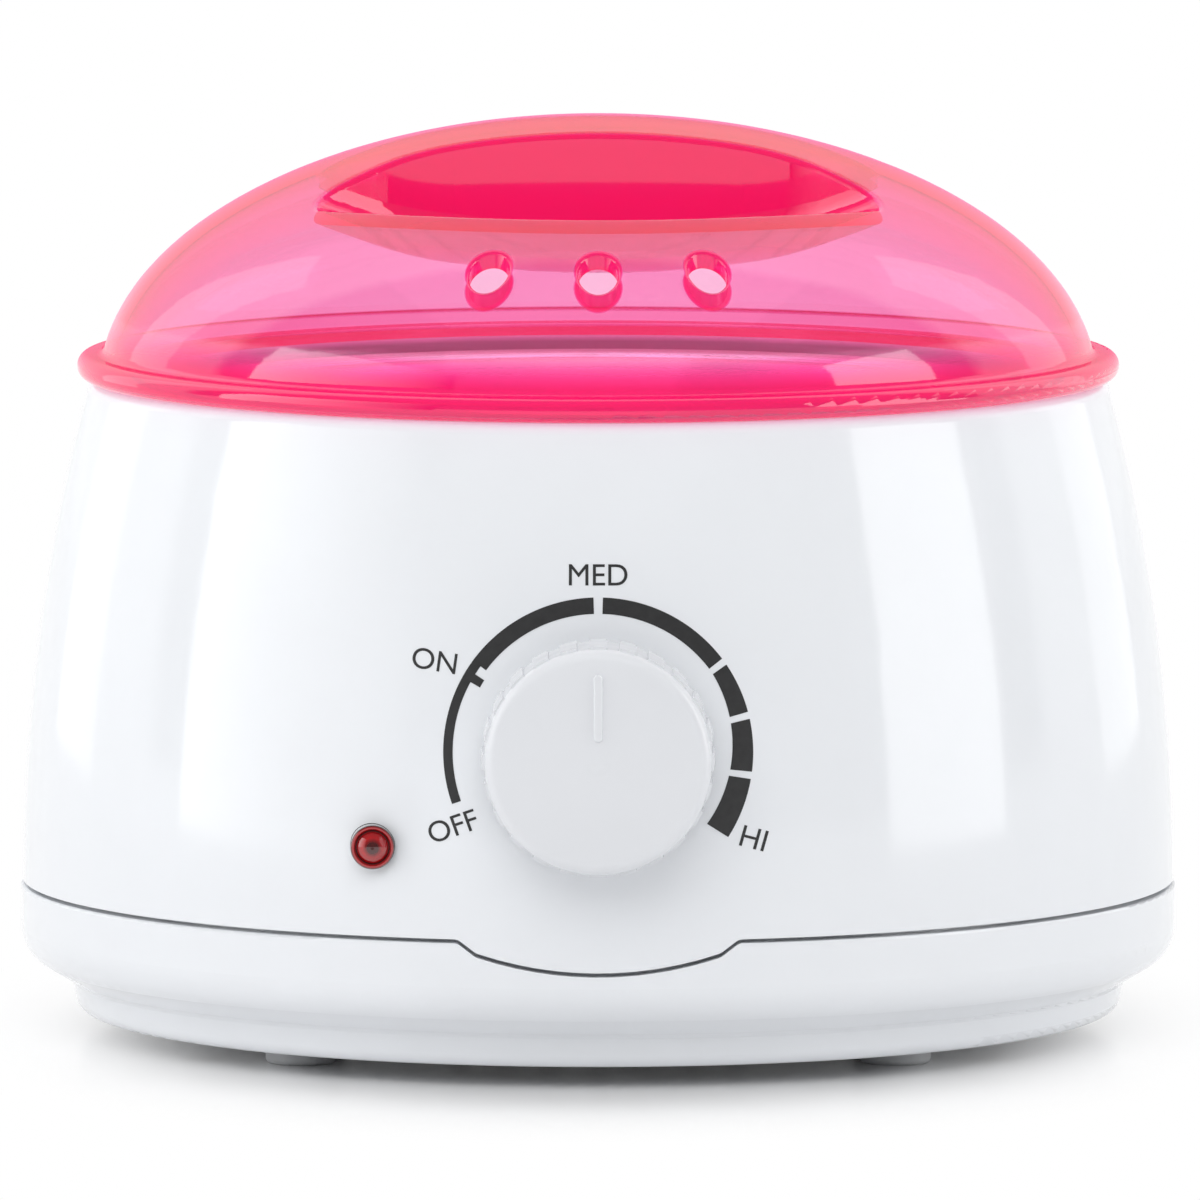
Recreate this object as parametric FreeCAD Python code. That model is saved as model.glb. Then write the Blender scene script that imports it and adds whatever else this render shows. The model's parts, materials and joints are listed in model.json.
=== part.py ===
import FreeCAD, Part
import math
import os

# Table-top wax heater: a white moulded body, a lift-out wax pot and a translucent lid.
# Sizes are in millimetres and angles in degrees. +Z is up, the front faces -Y, and the
# origin is on the standing surface, below the middle of the pot. Bearings are counted
# from +X towards +Y, so the front is at 270.

# Walls and fits that several pieces share
wall = 2.4
running_fit = 0.05
loose_fit = 0.3
seat_gap = 0.2
full_round = 0.95  # share of a half width that a full rounding takes

# Feet
foot_height = 3.2
foot_radius = 5.35
foot_edge = 0.8
foot_socket = 0.8
foot_inset = 15.9

# Housing: a barrel whose side is one large arc, upright at the seam
body_radius = 87.45
bulge_radius = 286.0
seam_height = 23.2
seam_gap = 0.6
seam_edge = 0.4
rim_edge = 2.0
rim_width = 5.8
opening_edge = 0.8
ledge_depth = 5.2
ledge_gap = 0.8

# Front tongue of the housing, which dips into the base
tongue_half_width = 20.9
tongue_flank_run = 2.7
tongue_flank_drop = 2.0
tongue_depth = 4.8
tongue_corner = 1.6

# Base shell
base_proud = 0.25
plinth_step = 7.7
plinth_draft = 1.0
plinth_height = 8.1
plinth_edge = 2.2
plinth_fillet = 1.0
shoulder_height = 12.6
shoulder_rounding = 6.0
lip_height = 4.0
lip_wall = 1.8
lip_root = 3.4
floor_slot_count = 7
floor_slot_pitch = 7.0
floor_slot_width = 2.6
floor_slot_length = 28.0

# Screws that hold the base to the housing
base_screw_bearings = (35, 145, 215, 325)
base_screw_inset = 16.45
base_sleeve_radius = 4.6
base_sleeve_top = 16.2
base_screw_seat = 3.0
column_radius = 4.0
column_top = 48.0
column_web = 2.4
screw_radius = 1.5
screw_head_radius = 3.0
screw_head_height = 2.2
screw_length = 13.0
recess_reach = 0.6  # arms, width and depth of the cross recess, as shares of the head
recess_width = 0.3
recess_depth = 0.55

# Wax pot
pot_rim_gap = 3.0
pot_rim_width = 7.9
pot_draft = 9.0
pot_depth = 59.0
pot_wall = 1.0
pot_rim_thickness = 1.2
pot_corner = 9.0
pot_rim_fillet = 1.5

# Bail of the pot, folded forward on the rim
bail_wire_radius = 1.5
bail_inset = 6.9
bail_bend = 3.0
saddle_plate = 1.0
saddle_width = 3.2
saddle_margin = 0.4
saddle_foot_reach = 7.6
rivet_offset = 5.2
rivet_radius = 0.9
rivet_head_radius = 1.6
rivet_head_height = 0.7

# Heating bowl that the pot hangs in
pot_gap = 1.0
bowl_wall = 1.5
bowl_rim_clearance = 0.4
gasket_thickness = 0.8
gasket_margin = 0.4
bowl_screw_bearings = (0, 120, 240)
bowl_screw_inset = 3.4
bowl_boss_radius = 3.2
bowl_boss_length = 8.0
bracket_plate = 1.0
bracket_width = 10.0
bracket_leg = 12.0
bracket_end = 4.0
bowl_screw_length = 6.5

# Band heater
band_height = 20.0
band_top_gap = 4.6
band_thickness = 2.5
band_gap = 0.1
band_split = 8.0
ear_plate = 1.6
ear_reach = 10.0
ear_height = 12.0
band_screw_radius = 2.0
band_screw_head_radius = 3.4
band_screw_head_height = 2.6
band_nut_flats = 7.0
band_nut_height = 3.0
band_screw_overhang = 1.2
tab_width = 6.3
tab_plate = 0.8
tab_overlap = 8.0
tab_length = 7.0
front_tab_bearing = 225
rear_tab_bearing = 140

# Heat shield under the bowl
shield_inset = 3.5
shield_plate = 0.8
shield_rim = 4.0
shield_clearance = 1.6
spacer_length = 8.0
spacer_radius = 4.0
stud_radius = 2.0
stud_overhang = 1.2
shield_nut_flats = 7.0
shield_nut_height = 3.2

# Knob and the thermostat behind it; distances are measured forward from the pot's axis
knob_height = 51.0
knob_boss_radius = 14.0
knob_boss_proud = 0.3
knob_gap = 0.6
knob_depth = 12.0
knob_back_radius = 17.0
knob_front_radius = 16.8
knob_edge = 1.8
knob_wall = 2.0
knob_face_radius = 130.0
knob_rib_count = 24
knob_rib_width = 2.6
knob_rib_height = 0.35
knob_rib_stop = 2.2
knob_hub_radius = 5.4
pointer_width = 1.35
pointer_inner = 3.2
pointer_outer = 13.2
pointer_rise = 0.45
pointer_edge = 0.3
shaft_radius = 3.0
shaft_flat = 2.2
shaft_in_body = 7.0
clip_radius = 5.0
clip_plate = 0.6
clip_groove = 2.4
clip_opening = 3.8
bushing_radius = 4.5
thermostat_nut_flats = 13.0
thermostat_nut_height = 2.8
thermostat_width = 26.0
thermostat_tall = 30.0
thermostat_depth = 12.0
blade_spread = 7.0
blade_length = 9.0

# Capillary sensor of the thermostat, strapped to the bowl
bulb_radius = 2.2
bulb_rise = 9.0
bulb_bearing = -68
bulb_angle = 38
strap_bearings = (-60, -38)
strap_width = 5.0
strap_wall = 1.0
capillary_radius = 0.8
capillary_bend = 4.0
capillary_lead = 12.0
capillary_entry = 8.0
capillary_rise = 10.0

# Indicator lamp
lens_x = -33.5
lens_height = 36.7
lens_radius = 3.3
lens_proud = 1.4
lens_dome_radius = 2.5
lens_dome_rise = 1.3
lens_groove = 0.5
lens_length = 11.0
lens_bore_radius = 2.3
lens_face = 2.2
lens_boss_radius = 5.2
retainer_radius = 5.8
retainer_plate = 0.6
lamp_radius = 2.1
lamp_length = 9.0

# Cord gland at the rear
cord_height = 37.0
cord_boss_radius = 9.0
cord_boss_proud = 0.5
cord_boss_depth = 5.0
cord_hole_radius = 5.2
cord_bore_radius = 3.4
bush_flange_radius = 7.2
bush_flange_outer = 3.6
bush_flange_inner = 1.8
bush_edge = 0.8
bush_lip = 2.8
bush_relief = 0.6

# Terminal block on the base floor
block_inset = 26.0
block_width = 36.0
block_depth = 16.0
block_tall = 11.0
block_post_height = 4.0
block_post_radius = 3.2
block_post_spread = 6.0
block_way_pitch = 12.0
block_way_radius = 1.8
block_way_height = 4.5
terminal_screw_radius = 1.6
terminal_screw_height = 4.0
terminal_slot_width = 0.5
terminal_slot_depth = 1.0
terminal_screw_spread = 4.5
block_screw_head_height = 2.0
block_screw_length = 10.4

# Thermal fuse on the bowl
fuse_bearing = 160
fuse_rise = 11.0
fuse_radius = 2.0
fuse_length = 11.0
fuse_lead_radius = 0.6
fuse_lead_length = 6.0

# Insulated leads
lead_radius = 1.3
lead_bend = 4.0
lead_fall = 8.0
lead_straight = 14.0

# Lid: an elliptical dome on a bead flange, with a hand pocket front and back
dome_rise = 41.2
dome_sink = 1.6
lid_wall = 2.0
flange_overhang = 1.85
flange_width = 3.25
flange_height = 3.7
flange_edge = 1.75
flange_plate = 2.0
flange_fillet = 1.2
skirt_clearance = 0.6
skirt_wall = 1.6
skirt_depth = 2.6
skirt_edge = 0.5
pocket_depth = 21.6
pocket_angle = 16.3
pocket_floor_radius = 166.0
pocket_corner = 5.0
pocket_rim_edge = 1.1
handle_half_width = 17.5
handle_straight = 28.0
handle_flare_angle = 32.0
handle_turn = 22.0
vent_radius = 3.0
vent_inset = 13.0
vent_angle = 15.0
vent_edge = 0.5

# Heights that follow from the sizes above, from the base floor up to the lid
base_top = seam_height - seam_gap
base_floor = foot_height + wall
shield_low = base_floor + block_post_height + block_tall + shield_clearance
shield_top = shield_low + shield_rim + shield_plate
bowl_bottom = shield_top + spacer_length
bowl_floor = bowl_bottom + bowl_wall
pot_floor = bowl_floor + pot_gap + pot_wall
pot_rim_top = pot_floor + pot_depth
pot_rim_under = pot_rim_top - pot_rim_thickness
bowl_flange_under = pot_rim_under - bowl_wall
ledge_top = bowl_flange_under - gasket_thickness
rim_height = ledge_top + ledge_depth
bracket_top = ledge_top - wall - bowl_boss_length
bracket_low = bracket_top - bracket_leg
band_high = bracket_low - band_top_gap
band_low = band_high - band_height
bulb_height = band_high + bulb_rise
fuse_height = band_high + fuse_rise
bail_height = pot_rim_top + seat_gap + bail_wire_radius
lid_seat = rim_height + seat_gap
dome_base = lid_seat - dome_sink
lid_top = dome_base + dome_rise
lead_run_height = base_floor + block_post_height + block_way_height

# Radii that follow from the sizes above, from the outside in
rim_radius = body_radius - bulge_radius + math.sqrt(bulge_radius ** 2 - (rim_height - seam_height) ** 2)
opening_radius = rim_radius - rim_width
pot_rim_radius = opening_radius - pot_rim_gap
pot_mouth_radius = pot_rim_radius - pot_rim_width
pot_floor_radius = pot_mouth_radius - pot_draft
ledge_radius = pot_mouth_radius + pot_wall + pot_gap + bowl_wall + ledge_gap
bail_radius = pot_rim_radius - bail_inset
bail_tip = pot_rim_radius - saddle_margin
bowl_screw_ring = opening_radius - bowl_screw_inset
bracket_reach = bowl_screw_ring + bracket_end
shield_radius = pot_floor_radius - shield_inset
base_radius = body_radius + base_proud
plinth_radius = base_radius - plinth_step
plinth_foot_radius = plinth_radius - plinth_draft
base_screw_ring = body_radius - base_screw_inset
foot_offset = (plinth_foot_radius - foot_inset) / math.sqrt(2)
block_y = plinth_foot_radius - block_inset
flange_radius = rim_radius + flange_overhang
dome_radius = flange_radius - flange_width
vent_ring = dome_radius - vent_inset

ORIGIN = FreeCAD.Vector(0, 0, 0)
RIGHT = FreeCAD.Vector(1, 0, 0)
BACK = FreeCAD.Vector(0, 1, 0)
UP = FreeCAD.Vector(0, 0, 1)
FAR = 400.0  # beyond the whole object
SAME = 0.01  # lengths closer than this count as equal


def vec(x, y, z):
    return FreeCAD.Vector(x, y, z)


def on_bearing(bearing, radius, height=0.0):
    """Point at a bearing and a distance from the pot's axis."""
    angle = math.radians(bearing)
    return vec(radius * math.cos(angle), radius * math.sin(angle), height)


def rounded_corner(before, here, after, rounding):
    """Start, middle and end of the arc that rounds one corner of a path."""
    to_before = (before - here).normalize()
    to_after = (after - here).normalize()
    half_angle = to_before.getAngle(to_after) / 2
    inward = (to_before + to_after).normalize()
    reach = rounding / math.tan(half_angle)
    depth = rounding / math.sin(half_angle) - rounding
    return here + to_before * reach, here + inward * depth, here + to_after * reach


def rounded_wire(points, roundings, closed):
    """Straight runs joined by tangent arcs."""
    count = len(points)
    corners = []
    for i, point in enumerate(points):
        if roundings[i]:
            corners.append(rounded_corner(points[i - 1], point, points[(i + 1) % count], roundings[i]))
        else:
            corners.append((point, None, point))
    edges = []
    for i, (start, middle, end) in enumerate(corners):
        if middle:
            edges.append(Part.Arc(start, middle, end).toShape())
        if closed or i < count - 1:
            following = corners[(i + 1) % count][0]
            edges.append(Part.LineSegment(end, following).toShape())
    return Part.Wire(edges)


def flat_face(corners, place):
    """Face inside 2-D corners (a, b) or (a, b, rounding), put into space by place(a, b)."""
    points = [place(corner[0], corner[1]) for corner in corners]
    roundings = [corner[2] if len(corner) > 2 else 0 for corner in corners]
    return Part.Face(rounded_wire(points, roundings, True))


def turned(corners):
    """Solid turned about Z from corners (radius, height) or (radius, height, rounding)."""
    return flat_face(corners, lambda radius, height: vec(radius, 0, height)).revolve(ORIGIN, UP, 360)


def ring(inner, outer, low, high):
    return turned([(inner, low), (outer, low), (outer, high), (inner, high)])


def rod(radius, low, high, x=0.0, y=0.0):
    """Upright cylinder between two heights."""
    return Part.makeCylinder(radius, high - low, vec(x, y, low), UP)


def block(x_range, y_range, z_range):
    lengths = [high - low for low, high in (x_range, y_range, z_range)]
    return Part.makeBox(*lengths, vec(x_range[0], y_range[0], z_range[0]))


def hexagon(across_flats, low, high):
    corner = across_flats / math.sqrt(3)
    corners = [(corner * math.cos(math.radians(60 * i)), corner * math.sin(math.radians(60 * i)))
               for i in range(6)]
    return flat_face(corners, lambda a, b: vec(a, b, low)).extrude(vec(0, 0, high - low))


def tube(points, radius, bend):
    """Round bar along straight runs joined by bends."""
    roundings = [0] + [bend] * (len(points) - 2) + [0]
    path = rounded_wire(points, roundings, False)
    section = Part.Wire(Part.makeCircle(radius, points[0], points[1] - points[0]))
    return path.makePipeShell([section], True, False)


def moved(shape, offset):
    copy = shape.copy()
    copy.translate(offset)
    return copy


def at_bearing(shape, bearing):
    """Copy of a shape made along +X, turned about Z to a bearing."""
    copy = shape.copy()
    copy.rotate(ORIGIN, UP, bearing)
    return copy


def facing_front(shape, x=0.0, height=0.0):
    """Copy of a shape made along +Z, laid so that its +Z points forward and its +Y up."""
    copy = shape.copy()
    copy.rotate(ORIGIN, RIGHT, 90)
    copy.translate(vec(x, 0, height))
    return copy


def facing_back(shape, height):
    """Copy of a shape made along +Z, laid so that its +Z points backward."""
    copy = shape.copy()
    copy.rotate(ORIGIN, RIGHT, -90)
    copy.translate(vec(0, 0, height))
    return copy


def round_edge(shape, radius, height, rounding):
    """Round the level edge of a turned solid that lies at a radius and a height."""
    edges = [edge for edge in shape.Edges
             if abs(edge.BoundBox.XMax - radius) < SAME
             and abs(edge.BoundBox.ZMin - height) < SAME and abs(edge.BoundBox.ZMax - height) < SAME]
    return shape.makeFillet(rounding, edges)


def screw(head_radius, head_height, shank_radius, length):
    """Screw that points up, its head below height zero, with a cross recess."""
    head = turned([(0, -head_height), (head_radius, -head_height, head_height / 3), (head_radius, 0), (0, 0)])
    shank = turned([(0, 0), (shank_radius, 0), (shank_radius, length - shank_radius),
                    (shank_radius / 2, length), (0, length)])
    arm = head_radius * recess_reach
    half = head_radius * recess_width / 2
    depth = (-head_height, -head_height * (1 - recess_depth))
    recess = block((-arm, arm), (-half, half), depth).fuse(block((-half, half), (-arm, arm), depth))
    return head.fuse(shank).cut(recess).removeSplitter()


def nut(across_flats, height, bore_radius):
    return hexagon(across_flats, 0, height).cut(rod(bore_radius, 0, height))


def export(name, shape):
    shape.exportStep(os.path.join("parts", name + ".step"))


# Surfaces that several pieces follow
def side_radius(height):
    """Outer radius of the housing at a height."""
    rise = height - seam_height
    return body_radius - bulge_radius + math.sqrt(bulge_radius ** 2 - rise ** 2)


def pot_inner_radius(height):
    share = (height - pot_floor) / pot_depth
    return pot_floor_radius + share * (pot_mouth_radius - pot_floor_radius)


def pot_outer_radius(height):
    return pot_inner_radius(height) + pot_wall


def bowl_inner_radius(height):
    return pot_outer_radius(height) + pot_gap


def bowl_outer_radius(height):
    return bowl_inner_radius(height) + bowl_wall


def bowl_patch(offset, thickness, low, high, width, bearing):
    """Piece of a sleeve that lies a given offset from the bowl's outside."""
    sleeve = turned([(bowl_outer_radius(low) + offset, low),
                     (bowl_outer_radius(low) + offset + thickness, low),
                     (bowl_outer_radius(high) + offset + thickness, high),
                     (bowl_outer_radius(high) + offset, high)])
    return at_bearing(sleeve.common(block((0, FAR), (-width / 2, width / 2), (low, high))), bearing)


# Places of the front controls, measured forward from the pot's axis
knob_seat = side_radius(knob_height - knob_boss_radius) + knob_boss_proud
knob_back = knob_seat + knob_gap
knob_front = knob_back + knob_depth
thermostat_wall = side_radius(knob_height + thermostat_tall / 2) - wall
thermostat_front = math.sqrt(thermostat_wall ** 2 - (thermostat_width / 2) ** 2) - loose_fit
thermostat_back = thermostat_front - thermostat_depth
bushing_end = knob_seat + thermostat_nut_height + clip_plate
shaft_end = knob_front - knob_wall - loose_fit
lens_seat = math.sqrt(side_radius(lens_height) ** 2 - (abs(lens_x) - lens_radius) ** 2)
lens_front = lens_seat + lens_proud
lens_back = lens_front - lens_length
lens_boss_end = lens_back + retainer_plate
cord_seat = side_radius(cord_height) + cord_boss_proud
cord_inside = cord_seat - cord_boss_depth


def foot(x, y):
    pad = turned([(0, 0), (foot_radius, 0, foot_edge), (foot_radius, foot_height + foot_socket),
                  (0, foot_height + foot_socket)])
    return moved(pad, vec(x, y, 0))


def seam_prism():
    """Everything above the base's top edge, with the dip at the front."""
    dip_end = tongue_half_width - tongue_flank_run
    flank_foot = base_top - tongue_flank_drop
    corners = [vec(-FAR, -FAR, base_top), vec(-tongue_half_width, -FAR, base_top),
               vec(-dip_end, -FAR, flank_foot)]
    mirrored = [vec(-point.x, point.y, point.z) for point in reversed(corners)]
    dip = Part.Arc(corners[-1], vec(0, -FAR, base_top - tongue_depth), mirrored[0]).toShape()
    left = [Part.LineSegment(corners[i], corners[i + 1]).toShape() for i in range(2)]
    right = [Part.LineSegment(mirrored[i], mirrored[i + 1]).toShape() for i in range(2)]
    top = Part.makePolygon([mirrored[-1], vec(FAR, -FAR, FAR), vec(-FAR, -FAR, FAR), corners[0]])
    face = Part.Face(Part.Wire(left + [dip] + right + top.Edges))
    prism = face.extrude(vec(0, FAR, 0))
    bends = [edge for edge in prism.Edges
             if edge.BoundBox.YLength > FAR / 2 and abs(edge.BoundBox.XMax) < FAR / 2]
    return prism.makeFillet(tongue_corner, bends)


def base_cover():
    slope = (shoulder_height - plinth_height) / (base_radius - plinth_radius)

    def inner_cone(radius):
        return plinth_height + slope * (radius - plinth_radius) + wall * math.sqrt(1 + slope ** 2)

    lip_radius = body_radius - wall - loose_fit
    lip_inner = lip_radius - lip_wall
    lip_foot = base_top - lip_root
    inner_radius = base_radius - wall
    plinth_inner = plinth_radius - wall
    shell = turned([
        (0, foot_height),
        (plinth_foot_radius, foot_height, plinth_edge),
        (plinth_radius, plinth_height, plinth_fillet),
        (base_radius, shoulder_height, shoulder_rounding),
        (base_radius, base_top, seam_edge),
        (lip_radius, base_top),
        (lip_radius, seam_height + lip_height),
        (lip_inner, seam_height + lip_height),
        (lip_inner, lip_foot),
        (inner_radius, lip_foot - (inner_radius - lip_inner)),
        (inner_radius, inner_cone(inner_radius), shoulder_rounding - wall),
        (plinth_inner, inner_cone(plinth_inner)),
        (plinth_foot_radius - wall, base_floor),
        (0, base_floor),
    ])
    notch = seam_prism().common(ring(lip_radius, base_radius + wall, foot_height, seam_height))
    shell = shell.cut(notch)
    for bearing in base_screw_bearings:
        spot = on_bearing(bearing, base_screw_ring)
        seat = base_sleeve_top - base_screw_seat
        sleeve = rod(base_sleeve_radius, foot_height, base_sleeve_top)
        bore = rod(screw_head_radius + loose_fit, foot_height, seat)
        bore = bore.fuse(rod(screw_radius + loose_fit, seat, base_sleeve_top))
        shell = shell.fuse(moved(sleeve, spot)).cut(moved(bore, spot))
    for x in (-block_post_spread, block_post_spread):
        post = rod(block_post_radius, foot_height, base_floor + block_post_height, x, block_y)
        pilot = rod(screw_radius + running_fit, base_floor, base_floor + block_post_height, x, block_y)
        shell = shell.fuse(post).cut(pilot)
    for x, y in foot_places():
        shell = shell.cut(rod(foot_radius + running_fit, foot_height, foot_height + foot_socket, x, y))
    for i in range(floor_slot_count):
        x = (i - (floor_slot_count - 1) / 2) * floor_slot_pitch
        half = floor_slot_width / 2
        end = floor_slot_length / 2 - half
        slot = block((x - half, x + half), (-end, end), (foot_height, base_floor))
        slot_ends = [rod(half, foot_height, base_floor, x, y) for y in (-end, end)]
        shell = shell.cut(slot.fuse(slot_ends))
    return shell.removeSplitter()


def foot_places():
    return [(x, y) for y in (-foot_offset, foot_offset) for x in (-foot_offset, foot_offset)]


def barrel(inset, low):
    """Solid inside the housing's side, moved in by an inset: upright up to the seam, then an arc."""
    heights = (seam_height, (seam_height + rim_height) / 2, rim_height)
    start, middle, end = [vec(side_radius(height) - inset, 0, height) for height in heights]
    rest = Part.makePolygon([end, vec(0, 0, rim_height), vec(0, 0, low), vec(start.x, 0, low), start])
    outline = Part.Wire([Part.Arc(start, middle, end).toShape()] + rest.Edges)
    return Part.Face(outline).revolve(ORIGIN, UP, 360)


def upper_housing():
    low = base_top - tongue_depth
    outside = barrel(0, low)
    hollow = barrel(wall, low).common(rod(FAR, low, rim_height - wall))
    collar = ring(opening_radius, opening_radius + wall, ledge_top - wall, rim_height - wall)
    ledge = ring(ledge_radius, opening_radius + wall, ledge_top - wall, ledge_top)
    shell = round_edge(outside, rim_radius, rim_height, rim_edge)
    shell = shell.cut(hollow).cut(rod(opening_radius, ledge_top, rim_height))
    shell = round_edge(shell, opening_radius, rim_height, opening_edge)
    shell = shell.fuse([collar, ledge])
    shell = shell.cut(rod(FAR, low, seam_height).cut(moved(seam_prism(), vec(0, 0, seam_gap))))
    additions = housing_columns() + housing_bosses(outside)
    return shell.fuse(additions).cut(housing_holes()).removeSplitter()


def housing_columns():
    """Posts that take the base screws, tied to the side by webs, and posts for the bowl screws."""
    web_low = seam_height + lip_height + seat_gap
    posts = []
    for bearing in base_screw_bearings:
        post = rod(column_radius, base_sleeve_top, column_top, base_screw_ring)
        web = block((base_screw_ring, FAR), (-column_web / 2, column_web / 2), (web_low, column_top))
        web = web.common(barrel(wall / 2, web_low))
        posts.append(at_bearing(post.fuse(web), bearing))
    for bearing in bowl_screw_bearings:
        post = rod(bowl_boss_radius, bracket_top, ledge_top, bowl_screw_ring)
        posts.append(at_bearing(post.common(rod(opening_radius + wall, 0, FAR)), bearing))
    return posts


def housing_bosses(outside):
    """Flat seats for the knob, the indicator lens and the cord gland."""
    knob_boss = facing_front(rod(knob_boss_radius, thermostat_front, knob_seat), 0, knob_height)
    lens_boss = facing_front(rod(lens_boss_radius, lens_boss_end, lens_front), lens_x, lens_height)
    cord_boss = facing_back(rod(cord_boss_radius, cord_inside, cord_seat), cord_height)
    return [knob_boss, lens_boss.common(outside), cord_boss]


def housing_holes():
    holes = [facing_front(rod(bushing_radius + running_fit, 0, FAR), 0, knob_height)]
    holes.append(facing_front(rod(lens_radius + running_fit, 0, FAR), lens_x, lens_height))
    holes.append(facing_back(rod(cord_hole_radius, 0, FAR), cord_height))
    for bearing in base_screw_bearings:
        pilot = rod(screw_radius + running_fit, base_sleeve_top, base_sleeve_top + screw_length)
        holes.append(moved(pilot, on_bearing(bearing, base_screw_ring)))
    for bearing in bowl_screw_bearings:
        pilot = rod(screw_radius + running_fit, bracket_top, bracket_top + bowl_screw_length)
        holes.append(moved(pilot, on_bearing(bearing, bowl_screw_ring)))
    return holes


def base_screws():
    length = base_screw_seat + screw_length - loose_fit
    one = screw(screw_head_radius, screw_head_height, screw_radius, length)
    seat = base_sleeve_top - base_screw_seat
    return Part.makeCompound([moved(one, on_bearing(bearing, base_screw_ring, seat))
                              for bearing in base_screw_bearings])


def wax_pot():
    rim_inner = pot_outer_radius(pot_rim_under)
    rim_edge_round = full_round * pot_rim_thickness / 2
    under = pot_floor - pot_wall
    pot = turned([
        (0, pot_floor),
        (pot_floor_radius, pot_floor, pot_corner),
        (pot_mouth_radius, pot_rim_top, pot_rim_fillet),
        (pot_rim_radius, pot_rim_top, rim_edge_round),
        (pot_rim_radius, pot_rim_under, rim_edge_round),
        (rim_inner, pot_rim_under),
        (pot_outer_radius(under), under, pot_corner + pot_wall),
        (0, under),
    ])
    holes = [rod(rivet_radius + running_fit, pot_rim_under, pot_rim_top, x, y) for x, y in rivet_places()]
    return pot.cut(holes)


def saddle_middle():
    return pot_rim_radius - saddle_margin - saddle_width / 2


def rivet_places():
    return [(x, y) for x in (-saddle_middle(), saddle_middle()) for y in (-rivet_offset, rivet_offset)]


def bail_saddle(side):
    """Strap over one end of the bail."""
    bore = bail_wire_radius + 2 * running_fit
    outer = bore + saddle_plate
    low = saddle_middle() - saddle_width / 2
    x_range = (low, low + saddle_width)
    arch = Part.makeCylinder(outer, saddle_width, vec(low, 0, bail_height), RIGHT)
    arch = arch.fuse(block(x_range, (-outer, outer), (pot_rim_top, bail_height)))
    feet = block(x_range, (-saddle_foot_reach, saddle_foot_reach), (pot_rim_top, pot_rim_top + saddle_plate))
    hollow = Part.makeCylinder(bore, saddle_width, vec(low, 0, bail_height), RIGHT)
    hollow = hollow.fuse(block(x_range, (-bore, bore), (pot_rim_top, bail_height)))
    strap = arch.common(block((0, FAR), (-FAR, FAR), (pot_rim_top, FAR))).fuse(feet).cut(hollow)
    holes = [rod(rivet_radius + running_fit, pot_rim_top, FAR, saddle_middle(), y)
             for y in (-rivet_offset, rivet_offset)]
    return at_bearing(strap.cut(holes).removeSplitter(), 0 if side > 0 else 180)


def saddle_rivets():
    head_low = pot_rim_top + saddle_plate
    rivet = turned([(0, pot_rim_under + seat_gap / 2), (rivet_radius, pot_rim_under + seat_gap / 2),
                    (rivet_radius, head_low), (rivet_head_radius, head_low),
                    (rivet_head_radius, head_low + rivet_head_height, rivet_head_height * full_round),
                    (0, head_low + rivet_head_height)])
    return Part.makeCompound([moved(rivet, vec(x, y, 0)) for x, y in rivet_places()])


def pot_bail():
    """Wire loop that lies forward on the rim, its ends turned out into the saddles."""
    z = bail_height
    reach = bail_radius + bail_bend
    inside = bail_bend * (1 - math.sqrt(0.5))
    right_end = vec(bail_radius, -bail_bend, z)
    left_end = vec(-bail_radius, -bail_bend, z)
    runs = [
        Part.LineSegment(vec(bail_tip, 0, z), vec(reach, 0, z)),
        Part.Arc(vec(reach, 0, z), vec(bail_radius + inside, -inside, z), right_end),
        Part.Arc(right_end, vec(0, -bail_bend - bail_radius, z), left_end),
        Part.Arc(left_end, vec(-bail_radius - inside, -inside, z), vec(-reach, 0, z)),
        Part.LineSegment(vec(-reach, 0, z), vec(-bail_tip, 0, z)),
    ]
    path = Part.Wire([run.toShape() for run in runs])
    section = Part.Wire(Part.makeCircle(bail_wire_radius, vec(bail_tip, 0, z), RIGHT))
    return path.makePipeShell([section], True, False)


def heating_bowl():
    flange_end = opening_radius - bowl_rim_clearance
    return turned([
        (0, bowl_floor),
        (bowl_inner_radius(bowl_floor), bowl_floor, pot_corner + pot_wall + pot_gap),
        (bowl_inner_radius(pot_rim_under), pot_rim_under, pot_rim_fillet),
        (flange_end, pot_rim_under),
        (flange_end, bowl_flange_under),
        (bowl_outer_radius(bowl_flange_under), bowl_flange_under),
        (bowl_outer_radius(bowl_bottom), bowl_bottom, pot_corner + pot_wall + pot_gap + bowl_wall),
        (0, bowl_bottom),
    ])


def bowl_gasket():
    return ring(ledge_radius + gasket_margin, opening_radius - gasket_margin, ledge_top, bowl_flange_under)


def bowl_brackets():
    """Angle plates on the bowl's side, screwed up against the housing's posts."""
    plate_low = bracket_top - bracket_plate
    brackets = []
    for bearing in bowl_screw_bearings:
        leg = bowl_patch(0, bracket_plate, bracket_low, bracket_top, bracket_width, bearing)
        foot_plate = block((0, bracket_reach), (-bracket_width / 2, bracket_width / 2),
                           (plate_low, bracket_top))
        foot_plate = foot_plate.cut(turned([(0, plate_low), (bowl_outer_radius(plate_low), plate_low),
                                            (bowl_outer_radius(bracket_top), bracket_top), (0, bracket_top)]))
        hole = rod(screw_radius + running_fit, plate_low, bracket_top, bowl_screw_ring)
        brackets.append(leg.fuse(at_bearing(foot_plate.cut(hole), bearing)).removeSplitter())
    return Part.makeCompound(brackets)


def bowl_screws():
    seat = bracket_top - bracket_plate
    length = bowl_screw_length + bracket_plate - loose_fit
    one = screw(screw_head_radius, screw_head_height, screw_radius, length)
    return Part.makeCompound([moved(one, on_bearing(bearing, bowl_screw_ring, seat))
                              for bearing in bowl_screw_bearings])


def ear_start():
    return bowl_outer_radius(band_low) + band_gap + band_thickness / 2


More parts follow.
